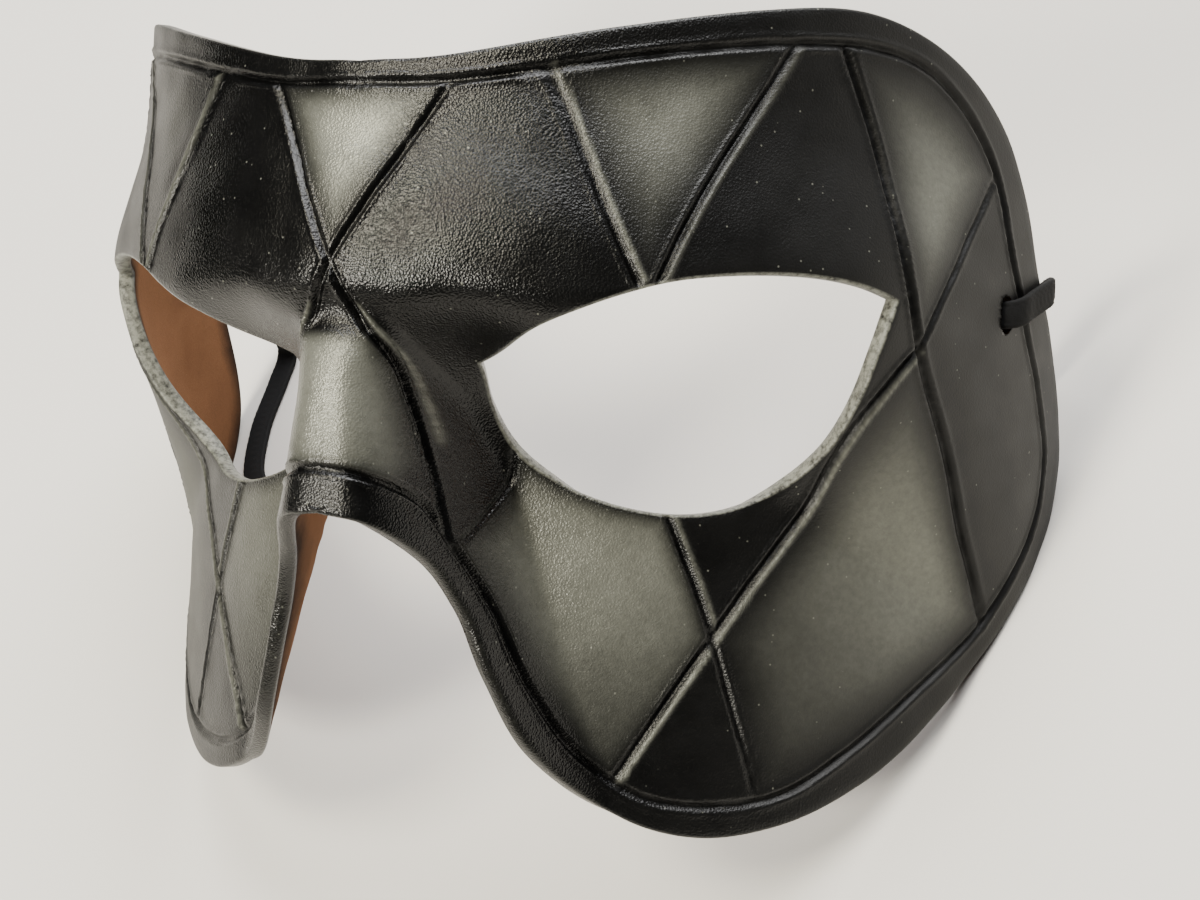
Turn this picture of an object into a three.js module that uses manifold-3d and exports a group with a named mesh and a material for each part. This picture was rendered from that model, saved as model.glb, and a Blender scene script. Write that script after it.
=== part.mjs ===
// A commedia dell'arte half mask in moulded black leather, lying face up on its rim,
// with its flat elastic cord. Millimetres, +Z up. The wearer's left is +X and the
// forehead is towards +Y. The mask is worked out in the wearer's own axes (X to the
// wearer's left, Y up the face, Z out of the face, zero at the knot of lines between
// the brows) and is then laid down on the ground as one rigid piece.
import * as THREE from "three";
import { mergeVertices } from "three/addons/utils/BufferGeometryUtils.js";
import Module from "manifold-3d";

const wasm = await Module();
wasm.setup();

// The leather, and the wrap of the mask round the head
const leatherThickness = 2.8;
const wrapHalfWidth = 86;
const wrapDepth = 107.5;

// The side view: the forehead leans back and the cheeks are set back under the eyes.
// The step down to the cheek lengthens and dies away round towards the temples.
const foreheadLean = 5;
const foreheadLeanHeight = 30;
const cheekSetBack = 26.5;
const cheekSetBackTop = -2;
const cheekSetBackHeight = 30;
const templeStart = THREE.MathUtils.degToRad(30);
const templeEnd = THREE.MathUtils.degToRad(100);
const templeLengthening = 59;
const templeFade = 0.41;

// The nose bridge
const noseCrestLift = 0.5;
const noseTop = -3;
const noseRiseHeight = 8;
const noseRootDip = 1.5;
const noseRootHeight = -9;
const noseRootSpan = 4.5;
const noseHalfWidthTop = 9.6;
const noseWidening = 0.34;
const noseWideningTop = -8;
const noseRoundness = 1.85;

// The hollow beside the nose and the swelling over the outer corner of each eye
const socketDepth = 7;
const socketAcross = 19;
const socketUp = -15;
const socketHalfWidth = 9;
const socketHalfHeight = 8;
const browSwelling = 2.2;
const browSwellingAcross = 80;
const browSwellingUp = 3;
const browSwellingRadius = 13;

// Outlines on the flat pattern: millimetres across from the middle line, and up
const rimOutline = [
  [0, 30], [13.2, 30.9], [38.1, 36.2], [57.9, 40.6], [69.7, 42.6], [76.2, 42.6], [83.3, 41.2],
  [91.3, 38], [98.3, 33.3], [103.8, 27.7], [110, 18.7], [116.5, 6.8], [121.3, -1],
  [125.5, -10.1], [127.6, -17.5], [127.8, -24], [125.6, -30.6], [118.8, -40], [109, -49],
  [98.5, -57.5], [89.6, -65.7], [81.7, -72.4], [74.4, -77.3], [61.8, -83.1], [47.6, -85.2],
  [35, -81.5], [26.3, -72.8], [20.6, -60.6], [16.8, -50], [12.8, -42.3], [7.7, -37.9], [0, -36.6],
];
const eyeUpperOutline = [
  [16.6, -13.7], [25.2, -10], [35.8, -5.5], [48.3, -0.6], [59.7, 1.5], [69.7, 2], [76.7, 1.2], [82.5, -0.4],
];
const eyeLowerOutline = [
  [82.5, -0.4], [80.4, -7.5], [76.4, -15.2], [69.2, -22.8], [59.1, -29.5], [49.3, -33.9],
  [41.5, -34.9], [32.3, -33.7], [24.6, -30.9], [18.3, -26.4], [16.1, -20], [16.6, -13.7],
];
const eyeCentre = [50, -16];

// Lines tooled into the leather: a border round the rim, and the lines of the diamonds
const borderLine = [
  [0, 26.7], [14.9, 27.3], [28.6, 29.6], [49.5, 33.9], [64.8, 36.6], [75.7, 37.5], [84.6, 36],
  [92.5, 31.1], [101.2, 21.5], [106.5, 11], [112.7, -1], [117.7, -12], [120.5, -22], [119, -30],
  [114.3, -37.5], [107, -44.5], [98.9, -51.3], [84.5, -61.9], [72, -71.5], [60.8, -78.3],
  [48.6, -80.2], [39.1, -78.8], [30.3, -73], [23.6, -61.8], [18.9, -50.2], [14.7, -41.1],
  [10.6, -33.3], [6, -30.6], [0, -30],
];
const diamondLines = [
  [[0, 0], [14.9, 27.3]],
  [[28.6, 29.6], [44.8, -0.8]],
  [[63.3, 36.3], [54.2, 17.6], [47.6, -0.4]],
  [[70.9, 37.2], [79, 17.8], [87.6, -7.2], [92.5, -22.5], [94.5, -35.6], [98.9, -51.3]],
  [[101.2, 21.5], [94.8, 7.2], [87.6, -7.2]],
  [[87.6, -7.2], [80.1, -14.6], [66.9, -27.4], [55.1, -43.4], [34.9, -76.5]],
  [[40.8, -34.9], [46.7, -48.7], [52, -64.1], [57.1, -79.2]],
  [[18, -26.3], [15.2, -40]],
  [[0, 0], [3.8, -7.4], [7.4, -12.5], [9.1, -19.4], [11.1, -28.1], [14, -39.2]],
];
const tooledWidth = 1.5;
const tooledDepth = 0.7;
const toolStep = 11;
const toolSag = 0.15;

// The slot for the elastic cord in each temple
const slotAcross = 107.6;
const slotUp = -0.5;
const slotLength = 6.2;
const slotWidth = 3.4;

// How it lies: turned back until it sits on the lower rims of its temples, which are
// worn flat there, and moved over the middle of the ground
const restTilt = THREE.MathUtils.degToRad(30.3);
const restForward = 5.35;
const restHeight = 102.95;

// The flat elastic cord and the knots that stop its ends behind the slots. The route
// is on the ground frame: knot, slot, over the rim, along the ground, and the same back.
const cordWidth = 4.6;
const cordThickness = 1.4;
const cordCorner = 0.4;
const cordTwistTop = 20;
const cordRoute = [
  [-77.9, 31.2, 38.8], [-80.2, 31.4, 38.9], [-82.6, 31.9, 38.7], [-83.8, 33.2, 37.7],
  [-84.4, 35.9, 35.5], [-85.2, 39.3, 32.7], [-85.6, 41.9, 30.4], [-84.6, 44, 27.7],
  [-82.3, 45.3, 23.5], [-80.3, 45.5, 18], [-79, 44.7, 12], [-78, 42.3, 6.7],
  [-78.4, 39.5, 1.3], [-78.4, 33, 0.8], [-78.2, 21, 0.8], [-74.5, 9.5, 0.8], [-65, 6.3, 0.8],
  [-50, 10, 0.8], [-36, 8, 0.8], [-22, -1, 0.8], [-8, -11, 0.8], [6, -14, 0.8],
  [20, -8.5, 0.8], [36, 1, 0.8], [54, 8, 0.8], [67, 18, 0.8], [74, 31, 0.9],
  [76.6, 38.5, 1.6], [78.2, 42.3, 7.5], [79, 44.7, 12], [80.3, 45.5, 18],
  [82.3, 45.3, 23.5], [84.6, 44, 27.7], [85.6, 41.9, 30.4], [85.2, 39.3, 32.7],
  [84.4, 35.9, 35.5], [83.8, 33.2, 37.7], [82.6, 31.9, 38.7], [80.2, 31.4, 38.9],
  [77.9, 31.2, 38.8],
];
const knotBehindFace = 6.3;
const knotLoopRadius = 1.9;
const knotStrand = 1.35;
const knotCore = 2.1;
const knotLean = THREE.MathUtils.degToRad(50);
const knotTail = 9;

// How finely the leather is faceted
const stationsAround = 60;
const outerRows = 6;
const innerRows = 3;
const middleFineness = 1.5;

const smoothStep = (value) => {
  const t = THREE.MathUtils.clamp(value, 0, 1);
  return t * t * (3 - 2 * t);
};
const bell = (distance, span) => Math.exp(-((distance / span) ** 2));

// The outer face of the leather, before its thickness, at a place on the flat pattern
function facePoint(across, up) {
  const angle = across / wrapHalfWidth;
  const side = Math.sign(angle) || 1;
  const x = wrapHalfWidth * Math.sin(angle);
  const away = Math.abs(x);

  const temple = smoothStep((Math.abs(angle) - templeStart) / (templeEnd - templeStart));
  const stepHeight = cheekSetBackHeight + templeLengthening * temple;
  const stepDown = smoothStep((cheekSetBackTop - up) / stepHeight);
  const setBack = -cheekSetBack * (1 - templeFade * temple) * stepDown;
  const lean = -foreheadLean * smoothStep(up / foreheadLeanHeight);
  const wrap = -wrapDepth * (1 - Math.cos(angle));

  const rise = smoothStep((noseTop - up) / noseRiseHeight);
  const crest = noseCrestLift - setBack * rise - noseRootDip * bell(up - noseRootHeight, noseRootSpan);
  const noseHalfWidth = noseHalfWidthTop + noseWidening * Math.max(0, noseWideningTop - up);
  const share = Math.min(1, away / noseHalfWidth) ** noseRoundness;
  const nose = crest * 0.5 * (1 + Math.cos(Math.PI * share));

  const socket = -socketDepth * bell(away - socketAcross, socketHalfWidth) * bell(up - socketUp, socketHalfHeight);
  const swelling = browSwelling
    * bell(Math.abs(across) - browSwellingAcross, browSwellingRadius)
    * bell(up - browSwellingUp, browSwellingRadius);

  return new THREE.Vector3(
    x + side * swelling * Math.abs(Math.sin(angle)),
    up,
    lean + setBack + wrap + nose + socket + swelling * Math.cos(angle),
  );
}

function faceNormal(across, up) {
  const step = 0.01;
  const alongAcross = facePoint(across + step, up).sub(facePoint(across - step, up));
  const alongUp = facePoint(across, up + step).sub(facePoint(across, up - step));
  return alongAcross.cross(alongUp).normalize();
}

// A place in the leather: depth 0 is the outer face and leatherThickness the inner face
function leatherPoint(across, up, depth) {
  return facePoint(across, up).addScaledVector(faceNormal(across, up), -depth);
}

// Points of a smooth curve through an outline's points
function smoothOutline(outline, count) {
  const curve = new THREE.CatmullRomCurve3(
    outline.map(([across, up]) => new THREE.Vector3(across, up, 0)), false, "centripetal");
  return curve.getSpacedPoints(count).map((point) => [point.x, point.y]);
}

// A loop round the eye centre as samples of turn angle and distance
function turnTable(points) {
  const table = points.map(([across, up]) => ({
    turn: Math.atan2(up - eyeCentre[1], across - eyeCentre[0]),
    distance: Math.hypot(across - eyeCentre[0], up - eyeCentre[1]),
  }));
  for (let index = 1; index < table.length; index++) {
    while (table[index].turn < table[index - 1].turn - Math.PI) table[index].turn += 2 * Math.PI;
    while (table[index].turn > table[index - 1].turn + Math.PI) table[index].turn -= 2 * Math.PI;
  }
  return table;
}

function distanceAtTurn(table, turn) {
  const low = Math.min(table[0].turn, table[table.length - 1].turn);
  let wanted = turn;
  while (wanted < low - 1e-9) wanted += 2 * Math.PI;
  while (wanted > low + 2 * Math.PI + 1e-9) wanted -= 2 * Math.PI;
  for (let index = 1; index < table.length; index++) {
    const before = table[index - 1];
    const after = table[index];
    const inside = (wanted - before.turn) * (wanted - after.turn) <= 1e-12;
    if (inside && before.turn !== after.turn) {
      const share = (wanted - before.turn) / (after.turn - before.turn);
      return before.distance + share * (after.distance - before.distance);
    }
  }
  return table[table.length - 1].distance;
}

// One half of the mask is a ring of leather between its eye opening and its own edge,
// which is the rim and then the middle line. Each station is a straight line outwards
// from the eye opening to that edge, as [eye point, edge point, whether it is rim].
function patternStations() {
  const samples = 400;
  const rim = smoothOutline(rimOutline, samples);
  const middle = [];
  const bottom = rim[rim.length - 1][1];
  const top = rim[0][1];
  for (let index = 1; index <= samples / 4; index++) {
    middle.push([0, bottom + (top - bottom) * index / (samples / 4)]);
  }
  const edge = turnTable([...rim, ...middle]);
  const upper = smoothOutline(eyeUpperOutline, samples / 2);
  const lower = smoothOutline(eyeLowerOutline, samples / 2);
  const eye = turnTable([...upper, ...lower.slice(1)]);

  const topTurn = edge[0].turn;
  const bottomTurn = edge[rim.length - 1].turn;
  const below = (turn, limit) => {
    let wanted = turn;
    while (wanted > limit) wanted -= 2 * Math.PI;
    return wanted;
  };
  const outerCorner = below(eye[upper.length - 1].turn, topTurn);
  const innerCorner = below(eye[0].turn, bottomTurn);
  const stops = [topTurn, outerCorner, bottomTurn, innerCorner, topTurn - 2 * Math.PI];

  const place = (table, turn) => {
    const distance = distanceAtTurn(table, turn);
    return [eyeCentre[0] + distance * Math.cos(turn), eyeCentre[1] + distance * Math.sin(turn)];
  };
  const turns = [];
  const fineStep = THREE.MathUtils.degToRad(0.5);
  const sectors = stops.slice(1).map((end, index) => {
    const start = stops[index];
    const fineness = start <= bottomTurn ? middleFineness : 1;
    const count = Math.ceil((start - end) / fineStep);
    const marks = [{ turn: start, measure: 0 }];
    let lastEdge = place(edge, start);
    let lastEye = place(eye, start);
    for (let mark = 1; mark <= count; mark++) {
      const turn = start + (end - start) * mark / count;
      const nowEdge = place(edge, turn);
      const nowEye = place(eye, turn);
      const stride = facePoint(...nowEdge).distanceTo(facePoint(...lastEdge))
        + facePoint(...nowEye).distanceTo(facePoint(...lastEye));
      marks.push({ turn, measure: marks[mark - 1].measure + stride * fineness });
      lastEdge = nowEdge;
      lastEye = nowEye;
    }
    return marks;
  });
  const total = sectors.reduce((sum, marks) => sum + marks[marks.length - 1].measure, 0);
  for (const marks of sectors) {
    const length = marks[marks.length - 1].measure;
    const count = Math.max(2, Math.round(stationsAround * length / total));
    let mark = 1;
    for (let station = 0; station < count; station++) {
      const wanted = length * station / count;
      while (marks[mark].measure < wanted) mark += 1;
      const before = marks[mark - 1];
      const share = (wanted - before.measure) / (marks[mark].measure - before.measure);
      turns.push(before.turn + share * (marks[mark].turn - before.turn));
    }
  }
  return turns.map((turn) => {
    const isMiddle = turn < bottomTurn - 1e-6;
    const edgePoint = place(edge, turn);
    if (isMiddle || turn >= topTurn - 1e-6 || turn <= bottomTurn + 1e-6) edgePoint[0] = 0;
    return { eyePoint: place(eye, turn), edgePoint, isRim: !isMiddle };
  });
}

// Shares of the way from eye point to edge point that part the leather between them
// into rows of the same width in space
function evenShares({ eyePoint, edgePoint }, rows) {
  const samples = 40;
  const marks = [{ share: 0, length: 0 }];
  let last = facePoint(...eyePoint);
  for (let sample = 1; sample <= samples; sample++) {
    const share = sample / samples;
    const now = facePoint(
      eyePoint[0] + (edgePoint[0] - eyePoint[0]) * share,
      eyePoint[1] + (edgePoint[1] - eyePoint[1]) * share,
    );
    marks.push({ share, length: marks[sample - 1].length + now.distanceTo(last) });
    last = now;
  }
  const shares = [0];
  let mark = 1;
  for (let row = 1; row < rows; row++) {
    const wanted = marks[samples].length * row / rows;
    while (marks[mark].length < wanted) mark += 1;
    const before = marks[mark - 1];
    const part = (wanted - before.length) / (marks[mark].length - before.length);
    shares.push(before.share + part * (marks[mark].share - before.share));
  }
  return [...shares, 1];
}

function closedGeometry(triangles) {
  const positions = new Float32Array(triangles.length * 9);
  triangles.forEach((corners, index) => {
    corners.forEach((corner, place) => corner.toArray(positions, index * 9 + place * 3));
  });
  const geometry = new THREE.BufferGeometry();
  geometry.setAttribute("position", new THREE.BufferAttribute(positions, 3));
  return mergeVertices(geometry, 1e-4);
}

function toSolid(geometry) {
  const plain = geometry.clone();
  plain.deleteAttribute("normal");
  plain.deleteAttribute("uv");
  const merged = mergeVertices(plain, 1e-4);
  return new wasm.Manifold(new wasm.Mesh({
    numProp: 3,
    vertProperties: new Float32Array(merged.attributes.position.array),
    triVerts: new Uint32Array(merged.index.array),
  }));
}

function fromSolid(solid) {
  const mesh = solid.getMesh();
  const geometry = new THREE.BufferGeometry();
  geometry.setAttribute("position", new THREE.BufferAttribute(new Float32Array(mesh.vertProperties), 3));
  geometry.setIndex(new THREE.BufferAttribute(new Uint32Array(mesh.triVerts), 1));
  return geometry;
}

// The whole shell: both halves, outer face, inner face and the cut edges between them
function shellGeometry() {
  const stations = patternStations();
  const triangles = [];
  for (const side of [1, -1]) {
    const sheet = (depth, rows) => stations.map((station) => {
      const { eyePoint, edgePoint } = station;
      const column = [];
      for (const share of evenShares(station, rows)) {
        const across = eyePoint[0] + (edgePoint[0] - eyePoint[0]) * share;
        const up = eyePoint[1] + (edgePoint[1] - eyePoint[1]) * share;
        const point = leatherPoint(across, up, depth);
        if (across === 0) point.x = 0;
        point.x *= side;
        column.push(point);
      }
      return column;
    });
    const outer = sheet(0, outerRows);
    const inner = sheet(leatherThickness, innerRows);
    const quad = (a, b, c, d) => {
      if (side > 0) triangles.push([a, c, b], [a, d, c]);
      else triangles.push([a, b, c], [a, c, d]);
    };
    stations.forEach((station, index) => {
      const next = (index + 1) % stations.length;
      for (let row = 0; row < outerRows; row++) {
        quad(outer[index][row], outer[index][row + 1], outer[next][row + 1], outer[next][row]);
      }
      for (let row = 0; row < innerRows; row++) {
        quad(inner[index][row], inner[next][row], inner[next][row + 1], inner[index][row + 1]);
      }
      quad(outer[index][0], outer[next][0], inner[next][0], inner[index][0]);
      if (station.isRim && !edgeIsMiddle(stations, index, next)) {
        quad(outer[index][outerRows], inner[index][innerRows], inner[next][innerRows], outer[next][outerRows]);
      }
    });
  }
  return closedGeometry(triangles);
}

const edgeIsMiddle = (stations, index, next) =>
  stations[index].edgePoint[0] === 0 && stations[next].edgePoint[0] === 0;

// A cutter for the slot: an oblong peg along the leather's normal
function slotPeg(side) {
  const straight = (slotLength - slotWidth) / 2;
  const oblong = new THREE.Shape();
  oblong.absarc(0, straight, slotWidth / 2, 0, Math.PI, false);
  oblong.absarc(0, -straight, slotWidth / 2, Math.PI, 2 * Math.PI, false);
  const reach = leatherThickness * 2;
  const peg = new THREE.ExtrudeGeometry(oblong, { depth: reach * 2, bevelEnabled: false, curveSegments: 6 });
  peg.translate(0, 0, -reach);
  const normal = faceNormal(slotAcross, slotUp);
  const place = facePoint(slotAcross, slotUp);
  const upward = new THREE.Vector3(0, 1, 0).addScaledVector(normal, -normal.y).normalize();
  const sideways = upward.clone().cross(normal);
  peg.applyMatrix4(new THREE.Matrix4().makeBasis(sideways, upward, normal).setPosition(place));
  return side > 0 ? toSolid(peg) : toSolid(peg).mirror([1, 0, 0]);
}

// Places along a tooled line, as shares of it, close together where the leather curves
function toolPlaces(curve) {
  const samples = Math.ceil(curve.getLength());
  const at = (index) => {
    const place = curve.getPointAt(index / samples);
    return facePoint(place.x, place.y);
  };
  const picked = [0];
  let from = at(0);
  for (let index = 2; index <= samples; index++) {
    const chord = new THREE.Line3(from, at(index));
    let sag = 0;
    for (let between = picked[picked.length - 1] + 1; between < index; between++) {
      const place = at(between);
      sag = Math.max(sag, place.distanceTo(chord.closestPointToPoint(place, true, new THREE.Vector3())));
    }
    if (sag > toolSag || chord.distance() > toolStep) {
      picked.push(index - 1);
      from = at(index - 1);
    }
  }
  if (samples - picked[picked.length - 1] < 2 && picked.length > 1) picked.pop();
  return [...picked, samples].map((index) => index / samples);
}

// A V-shaped cutter along a tooled line, from above the leather down to the tool's depth
function toolCutter(line, isLoop) {
  const curve = new THREE.CatmullRomCurve3(
    line.map(([across, up]) => new THREE.Vector3(across, up, 0)), isLoop, "centripetal");
  const places = toolPlaces(curve);
  if (isLoop) places.pop();
  const clear = tooledDepth;
  const reach = tooledWidth / 2 * (tooledDepth + clear) / tooledDepth;
  const rings = places.map((share) => {
    const place = curve.getPointAt(share);
    const heading = curve.getTangentAt(share).multiplyScalar(0.01);
    const before = facePoint(place.x - heading.x, place.y - heading.y);
    const after = facePoint(place.x + heading.x, place.y + heading.y);
    const normal = faceNormal(place.x, place.y);
    const sideways = after.sub(before).normalize().cross(normal);
    const middle = facePoint(place.x, place.y);
    const top = middle.clone().addScaledVector(normal, clear);
    return [
      top.clone().addScaledVector(sideways, reach),
      top.clone().addScaledVector(sideways, -reach),
      middle.clone().addScaledVector(normal, -tooledDepth),
    ];
  });
  return ringBody(rings, isLoop);
}

const mirrorLine = (line) => line.map(([across, up]) => [-across, up]);

// A closed body swept through rings of the same number of points
function ringBody(rings, isLoop) {
  const triangles = [];
  const count = rings.length;
  const size = rings[0].length;
  for (let index = 0; index < (isLoop ? count : count - 1); index++) {
    const here = rings[index];
    const there = rings[(index + 1) % count];
    for (let corner = 0; corner < size; corner++) {
      const other = (corner + 1) % size;
      triangles.push([here[corner], there[other], here[other]]);
      triangles.push([here[corner], there[corner], there[other]]);
    }
  }
  if (!isLoop) {
    const first = rings[0];
    const last = rings[count - 1];
    for (let corner = 1; corner < size - 1; corner++) {
      triangles.push([first[0], first[corner], first[corner + 1]]);
      triangles.push([last[0], last[corner + 1], last[corner]]);
    }
  }
  return closedGeometry(triangles);
}

// The cord lies flat on the ground and on the leather, and twists a quarter turn between
function cordGeometry(upFace) {
  const curve = new THREE.CatmullRomCurve3(
    cordRoute.map(([x, y, z]) => new THREE.Vector3(x, y, z)), false, "centripetal");
  const stretches = cordRoute.length - 1;
  const marks = [];
  for (let index = 0; index < stretches; index++) {
    marks.push(index / stretches);
    const onGround = Math.max(cordRoute[index][2], cordRoute[index + 1][2]) < cordWidth / 2;
    if (onGround) marks.push((index + 0.5) / stretches);
  }
  marks.push(1);
  const rings = marks.map((mark) => {
    const place = curve.getPoint(mark);
    const heading = curve.getTangent(mark);
    const side = Math.sign(place.x) || 1;
    const lift = THREE.MathUtils.clamp((place.z - cordWidth / 2) / cordTwistTop, 0, 1);
    const flat = lift > 0
      ? new THREE.Vector3(-side, 0, 0)
      : new THREE.Vector3(0, 0, 1).cross(heading).normalize();
    const width = flat.lerp(upFace, smoothStep(lift));
    width.addScaledVector(heading, -width.dot(heading)).normalize();
    const thick = heading.clone().cross(width);
    const wide = cordWidth / 2;
    const deep = cordThickness / 2;
    return [
      [cordCorner - wide, -deep], [-wide, cordCorner - deep], [-wide, deep - cordCorner],
      [cordCorner - wide, deep], [wide - cordCorner, deep], [wide, deep - cordCorner],
      [wide, cordCorner - deep], [wide - cordCorner, -deep],
    ].map(([along, out]) => place.clone().addScaledVector(width, along).addScaledVector(thick, out));
  });
  return ringBody(rings, false);
}

// A stopper knot: two crossing loops round a core, with the cut tail of the cord
function knotSolid(side) {
  const loop = new THREE.TorusGeometry(knotLoopRadius, knotStrand, 6, 10);
  const crossing = loop.clone().rotateX(knotLean).translate(0, 0, -knotStrand / 2);
  const core = new THREE.SphereGeometry(knotCore, 6, 4);
  const tail = new THREE.BoxGeometry(cordThickness, knotTail, cordWidth / 2);
  tail.rotateX(-knotLean).translate(0, -knotTail / 3, -knotTail / 4);
  const normal = faceNormal(slotAcross, slotUp);
  const place = leatherPoint(slotAcross, slotUp, knotBehindFace);
  const upward = new THREE.Vector3(0, 1, 0).addScaledVector(normal, -normal.y).normalize();
  const sideways = upward.clone().cross(normal);
  const stand = new THREE.Matrix4().makeBasis(sideways, upward, normal).setPosition(place);
  const knot = [loop, crossing, core, tail]
    .map((geometry) => toSolid(geometry.applyMatrix4(stand)))
    .reduce((whole, piece) => whole.add(piece));
  return side > 0 ? knot : knot.mirror([1, 0, 0]);
}

let mask = toSolid(shellGeometry());
for (const side of [1, -1]) mask = mask.subtract(slotPeg(side));
const otherHalf = mirrorLine(borderLine).reverse().slice(1, -1);
mask = mask.subtract(toSolid(toolCutter([...borderLine, ...otherHalf], true)));
for (const line of diamondLines) {
  mask = mask.subtract(toSolid(toolCutter(line, false)));
  mask = mask.subtract(toSolid(toolCutter(mirrorLine(line), false)));
}

// Laid down: turned back, set on the ground and worn flat where it sits
const layDown = new THREE.Matrix4().makeRotationX(restTilt);
layDown.premultiply(new THREE.Matrix4().makeTranslation(0, -restForward, restHeight));
const ground = new THREE.BoxGeometry(wrapHalfWidth * 4, wrapDepth * 4, leatherThickness);
ground.translate(0, 0, -leatherThickness / 2);
const lying = toSolid(fromSolid(mask).applyMatrix4(layDown)).subtract(toSolid(ground));
// Tooled lines that meet can leave a crumb: only the mask itself is kept
mask = lying.decompose().sort((one, other) => other.volume() - one.volume())[0];

const leather = new THREE.MeshStandardMaterial({ color: 0x1b1b1c, roughness: 0.42, metalness: 0 });
const elastic = new THREE.MeshStandardMaterial({ color: 0x111112, roughness: 0.85, metalness: 0 });
const knotElastic = elastic.clone();

const object = new THREE.Group();
const addPiece = (geometry, material, name) => {
  const mesh = new THREE.Mesh(geometry, material);
  mesh.name = name;
  object.add(mesh);
};
const upFace = new THREE.Vector3(0, Math.cos(restTilt), Math.sin(restTilt));
addPiece(fromSolid(mask), leather, "mask_leather");
addPiece(cordGeometry(upFace), elastic, "elastic_cord");
addPiece(fromSolid(knotSolid(1)).applyMatrix4(layDown), knotElastic, "knot_left");
addPiece(fromSolid(knotSolid(-1)).applyMatrix4(layDown), knotElastic.clone(), "knot_right");
export default object;
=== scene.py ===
import bpy
import numpy as np
from mathutils import Matrix, Vector


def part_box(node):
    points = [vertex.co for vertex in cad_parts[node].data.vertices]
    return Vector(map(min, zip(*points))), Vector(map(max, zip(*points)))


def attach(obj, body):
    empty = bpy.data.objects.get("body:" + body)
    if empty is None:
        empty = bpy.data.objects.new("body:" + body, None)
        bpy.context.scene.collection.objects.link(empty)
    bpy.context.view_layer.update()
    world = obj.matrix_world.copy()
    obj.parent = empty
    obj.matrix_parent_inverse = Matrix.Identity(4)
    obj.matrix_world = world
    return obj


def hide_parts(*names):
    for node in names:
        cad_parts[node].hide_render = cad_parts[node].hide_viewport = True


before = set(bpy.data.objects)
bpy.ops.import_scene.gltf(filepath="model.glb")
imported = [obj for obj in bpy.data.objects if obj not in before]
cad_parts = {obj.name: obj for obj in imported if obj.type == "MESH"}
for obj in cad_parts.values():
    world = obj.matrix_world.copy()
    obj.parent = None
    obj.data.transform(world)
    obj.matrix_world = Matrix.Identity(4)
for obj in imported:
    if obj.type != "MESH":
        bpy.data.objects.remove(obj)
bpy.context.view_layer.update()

bl_info = {
    "name": "Commedia dell'arte leather mask",
    "version": (1, 0, 0),
    "blender": (4, 5, 0),
    "location": "View3D > Sidebar > Mask",
    "description": "Builds a tooled leather half mask, lying face up with its elastic cord",
    "category": "Object",
}

# The mask is worked out in millimetres in the wearer's axes: X to the wearer's left,
# Y up the face and Z out of the face, with zero at the knot of lines between the brows.
# Flat-pattern places are (across, up) in millimetres.
MM = 0.001
LEATHER_THICKNESS = 2.8
WRAP_HALF_WIDTH = 86.0
WRAP_DEPTH = 107.5
FOREHEAD_LEAN = 5.0
FOREHEAD_LEAN_HEIGHT = 30.0
CHEEK_SET_BACK = 26.5
CHEEK_SET_BACK_TOP = -2.0
CHEEK_SET_BACK_HEIGHT = 30.0
TEMPLE_START = np.radians(30)
TEMPLE_END = np.radians(100)
TEMPLE_LENGTHENING = 59.0
TEMPLE_FADE = 0.41
NOSE_CREST_LIFT = 0.5
NOSE_TOP = -3.0
NOSE_RISE_HEIGHT = 8.0
NOSE_ROOT_DIP = 1.5
NOSE_ROOT_HEIGHT = -9.0
NOSE_ROOT_SPAN = 4.5
NOSE_HALF_WIDTH_TOP = 9.6
NOSE_WIDENING = 0.34
NOSE_WIDENING_TOP = -8.0
NOSE_ROUNDNESS = 1.85
SOCKET_DEPTH = 7.0
SOCKET_ACROSS = 19.0
SOCKET_UP = -15.0
SOCKET_HALF_WIDTH = 9.0
SOCKET_HALF_HEIGHT = 8.0
BROW_SWELLING = 2.2
BROW_SWELLING_ACROSS = 80.0
BROW_SWELLING_UP = 3.0
BROW_SWELLING_RADIUS = 13.0
REST_TILT = np.radians(30.3)
REST_FORWARD = 5.35
REST_HEIGHT = 102.95

# Outlines of the leather on the flat pattern, for the wearer's left half. Most points of
# these and of the lists below were not read off by eye: a fit worked them out from points
# picked in the photograph, as it did the face's values above.
RIM = [
    (0, 30), (13.2, 30.9), (38.1, 36.2), (57.9, 40.6), (69.7, 42.6), (76.2, 42.6), (83.3, 41.2),
    (91.3, 38), (98.3, 33.3), (103.8, 27.7), (110, 18.7), (116.5, 6.8), (121.3, -1),
    (125.5, -10.1), (127.6, -17.5), (127.8, -24), (125.6, -30.6), (118.8, -40), (109, -49),
    (98.5, -57.5), (89.6, -65.7), (81.7, -72.4), (74.4, -77.3), (61.8, -83.1), (47.6, -85.2),
    (35, -81.5), (26.3, -72.8), (20.6, -60.6), (16.8, -50), (12.8, -42.3), (7.7, -37.9), (0, -36.6),
]
EYE_UPPER = [
    (16.6, -13.7), (25.2, -10), (35.8, -5.5), (48.3, -0.6), (59.7, 1.5), (69.7, 2), (76.7, 1.2),
    (82.5, -0.4),
]
EYE_LOWER = [
    (82.5, -0.4), (80.4, -7.5), (76.4, -15.2), (69.2, -22.8), (59.1, -29.5), (49.3, -33.9),
    (41.5, -34.9), (32.3, -33.7), (24.6, -30.9), (18.3, -26.4), (16.1, -20), (16.6, -13.7),
]
EYE_CENTRE = np.array([50.0, -16.0])

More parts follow.
